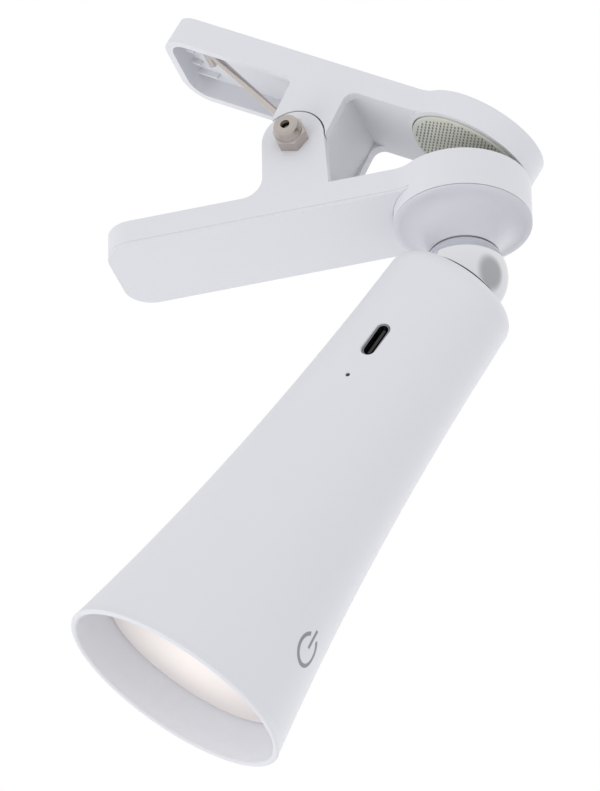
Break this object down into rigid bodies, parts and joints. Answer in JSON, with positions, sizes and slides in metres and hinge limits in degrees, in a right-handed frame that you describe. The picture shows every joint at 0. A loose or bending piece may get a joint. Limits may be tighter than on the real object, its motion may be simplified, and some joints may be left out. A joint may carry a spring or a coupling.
{
  "type": "clip-on reading lamp",
  "caption": "Clip-on reading lamp: spring clip with round rubber-faced jaws, mirror ball joint and a rechargeable flared head with a recessed warm diffuser, touch mark and charging socket.",
  "frame": {"origin": "centre of the lower grip pad's top face, where the lower jaw meets what it is clipped to", "axes": "+Z along the lower jaw disc's and the neck's axis, away from the lamp head and towards the upper jaw; +X from the hinge to the jaw tip; +Y across the clip, away from the hinge nut"},
  "size_m": [0.1115, 0.0556, 0.1986],
  "materials": {
    "clip_plastic": "satin, finely moulded",
    "cover_plastic": "satin, finely moulded",
    "neck_plastic": "soft gloss",
    "head_plastic": "satin, finely moulded",
    "grip_rubber": "matt with a fine dashed pattern",
    "screw_steel": "zinc plated",
    "bolt_steel": "nickel plated",
    "nut_steel": "nickel plated",
    "spring_steel": "drawn and nickel plated",
    "sleeve_plastic": "matt",
    "ball_chrome": "mirror polished",
    "socket_plastic": "matt black",
    "magnet_metal": "plated",
    "chassis_plastic": "matt",
    "cell_can": "plain",
    "cell_sleeve": "shrunk film",
    "tab_metal": "plain",
    "board": "solder mask",
    "chips": "matt",
    "port_steel": "plated",
    "port_plastic": "matt black",
    "light_pipe": "smoked clear",
    "foil_copper": "plain",
    "mark_ink": "printed grey",
    "spreader_metal": "plain",
    "led_board": "white solder mask",
    "led": "phosphor",
    "reflector_plastic": "bright white",
    "diffuser": "opal, slightly warm",
    "wire_skin": "soft"
  },
  "bodies": {
    "clip_base": {"lower_arm": "clip_plastic", "arm_cover": "cover_plastic", "neck": "neck_plastic", "neck_screws": "screw_steel", "lower_grip_pad": "grip_rubber", "hinge_bolt": "bolt_steel", "bolt_washer": "bolt_steel", "hinge_nut": "nut_steel", "spring_sleeve": "sleeve_plastic", "torsion_spring": "spring_steel"},
    "upper_jaw": {"upper_arm": "clip_plastic", "upper_grip_pad": "grip_rubber", "spring_leg": "spring_steel"},
    "ball_swivel": {"pivot_ball": "ball_chrome", "ball_stud": "screw_steel", "stud_washer": "screw_steel", "stud_nut": "screw_steel"},
    "socket": {"socket_cup": "socket_plastic", "socket_magnet": "magnet_metal"},
    "lamp_head": {"head_shell": "head_plastic", "retaining_ring": "chassis_plastic", "chassis": "chassis_plastic", "chassis_screws": "screw_steel", "battery_cell": "cell_can", "battery_sleeve": "cell_sleeve", "battery_tabs": "tab_metal", "main_board": "board", "board_parts": "chips", "usb_socket": "port_steel", "usb_tongue": "port_plastic", "charge_light": "light_pipe", "touch_foil": "foil_copper", "power_mark": "mark_ink", "heat_spreader": "spreader_metal", "led_board": "led_board", "leds": "led", "reflector": "reflector_plastic", "diffuser": "diffuser", "lead_wires": "wire_skin"}
  },
  "joints": [
    {"name": "jaw_hinge", "type": "hinge", "parent": "clip_base", "child": "upper_jaw", "pos_m": [-0.0369, 0, 0.0137], "axis": [0, -1, 0], "range_deg": [0, 40], "stiffness_Nm_per_rad": 0.6, "springref_deg": -34.38},
    {"name": "head_swivel", "type": "hinge", "parent": "clip_base", "child": "ball_swivel", "pos_m": [0, 0, -0.02584], "axis": [0, 0, 1], "continuous": true},
    {"name": "head_tilt", "type": "hinge", "parent": "ball_swivel", "child": "socket", "pos_m": [0, 0, -0.02584], "axis": [-0.0506, 0.9987, 0], "range_deg": [-81, 11]},
    {"name": "head_roll", "type": "hinge", "parent": "socket", "child": "lamp_head", "pos_m": [0, 0, -0.02584], "axis": [-0.5728, -0.029, -0.8192], "continuous": true}
  ]
}
